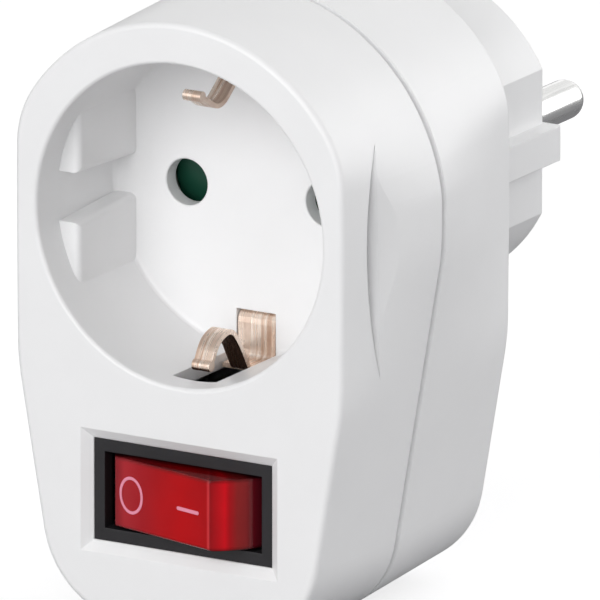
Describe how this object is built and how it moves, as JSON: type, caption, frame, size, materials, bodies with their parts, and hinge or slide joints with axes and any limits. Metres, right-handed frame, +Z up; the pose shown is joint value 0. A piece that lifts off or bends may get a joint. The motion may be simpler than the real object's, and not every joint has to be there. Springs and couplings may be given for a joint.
{
  "type": "switched socket adaptor",
  "caption": "Plug-in earthed socket adaptor with a lit rocker switch in its chin, round recess in front, round-pin plug behind.",
  "frame": {"origin": "centre of the plug's face, midway between its two pins", "axes": "+Y out of the plug's face along the pins, +Z up, +X to the right seen from the socket's front"},
  "size_m": [0.05, 0.0769, 0.075],
  "materials": {
    "white_shell": "glossy white moulded plastic",
    "plated_pin": "nickel plated, polished",
    "cream_plastic": "satin heat-proof plastic",
    "green_plastic": "satin dark green plastic",
    "spring_steel": "drawn spring wire",
    "contact_brass": "rolled brass strip",
    "copper_strip": "rolled copper alloy strip",
    "screw_steel": "zinc plated steel",
    "black_plastic": "satin black plastic",
    "red_lens": "translucent glossy red plastic",
    "lamp_glass": "clear glass tube",
    "resistor_body": "lacquered resistor body",
    "sleeve_plastic": "clear-white nylon sleeve",
    "brown_insulation": "brown insulation",
    "blue_insulation": "blue insulation",
    "mark_print": "printed pale pink mark"
  },
  "bodies": {
    "housing": {"front_shell": "white_shell", "rear_shell": "white_shell", "live_pin": "plated_pin", "neutral_pin": "plated_pin", "contact_carrier": "cream_plastic", "shutter_spring": "spring_steel", "live_contact": "contact_brass", "neutral_contact": "contact_brass", "upper_earth_clip": "copper_strip", "lower_earth_clip": "copper_strip", "earth_bar": "copper_strip", "earth_link": "copper_strip", "plug_earth_bracket": "copper_strip", "earth_pin_sleeve": "contact_brass", "earth_rivets": "contact_brass", "carrier_screws": "screw_steel", "housing_screws": "screw_steel", "switch_body": "black_plastic", "switch_base": "black_plastic", "live_in_terminal": "contact_brass", "neutral_in_terminal": "contact_brass", "live_out_terminal": "contact_brass", "neutral_out_terminal": "contact_brass", "tab_sleeves": "sleeve_plastic", "live_in_wire": "brown_insulation", "neutral_in_wire": "blue_insulation", "live_out_wire": "brown_insulation", "neutral_out_wire": "blue_insulation"},
    "rocker": {"rocker_cover": "red_lens", "rocker_core": "cream_plastic", "plungers": "black_plastic", "plunger_springs": "spring_steel", "neon_lamp": "lamp_glass", "lamp_resistor": "resistor_body", "lamp_leads": "screw_steel"},
    "live_blade": {"live_blade": "contact_brass"},
    "neutral_blade": {"neutral_blade": "contact_brass"},
    "shutter": {"shutter": "green_plastic"}
  },
  "joints": [
    {"name": "rocker_tilt", "type": "hinge", "parent": "housing", "child": "rocker", "pos_m": [0, -0.0483, -0.0335], "axis": [0, 0, 1], "range_deg": [0, 26.4]},
    {"name": "live_blade_tilt", "type": "hinge", "parent": "housing", "child": "live_blade", "pos_m": [0, -0.0394, -0.0316], "axis": [0, 0, 1], "range_deg": [-20, 0]},
    {"name": "neutral_blade_tilt", "type": "hinge", "parent": "housing", "child": "neutral_blade", "pos_m": [0, -0.0394, -0.0354], "axis": [0, 0, 1], "range_deg": [-20, 0]},
    {"name": "shutter_turn", "type": "hinge", "parent": "housing", "child": "shutter", "pos_m": [0, -0.0338, 0], "axis": [0, -1, 0], "range_deg": [0, 38], "deforming": ["shutter_spring"]}
  ],
  "couplings": [
    {"joint": "live_blade_tilt", "follows": "rocker_tilt", "ratio": -0.7575},
    {"joint": "neutral_blade_tilt", "follows": "rocker_tilt", "ratio": -0.7575}
  ]
}
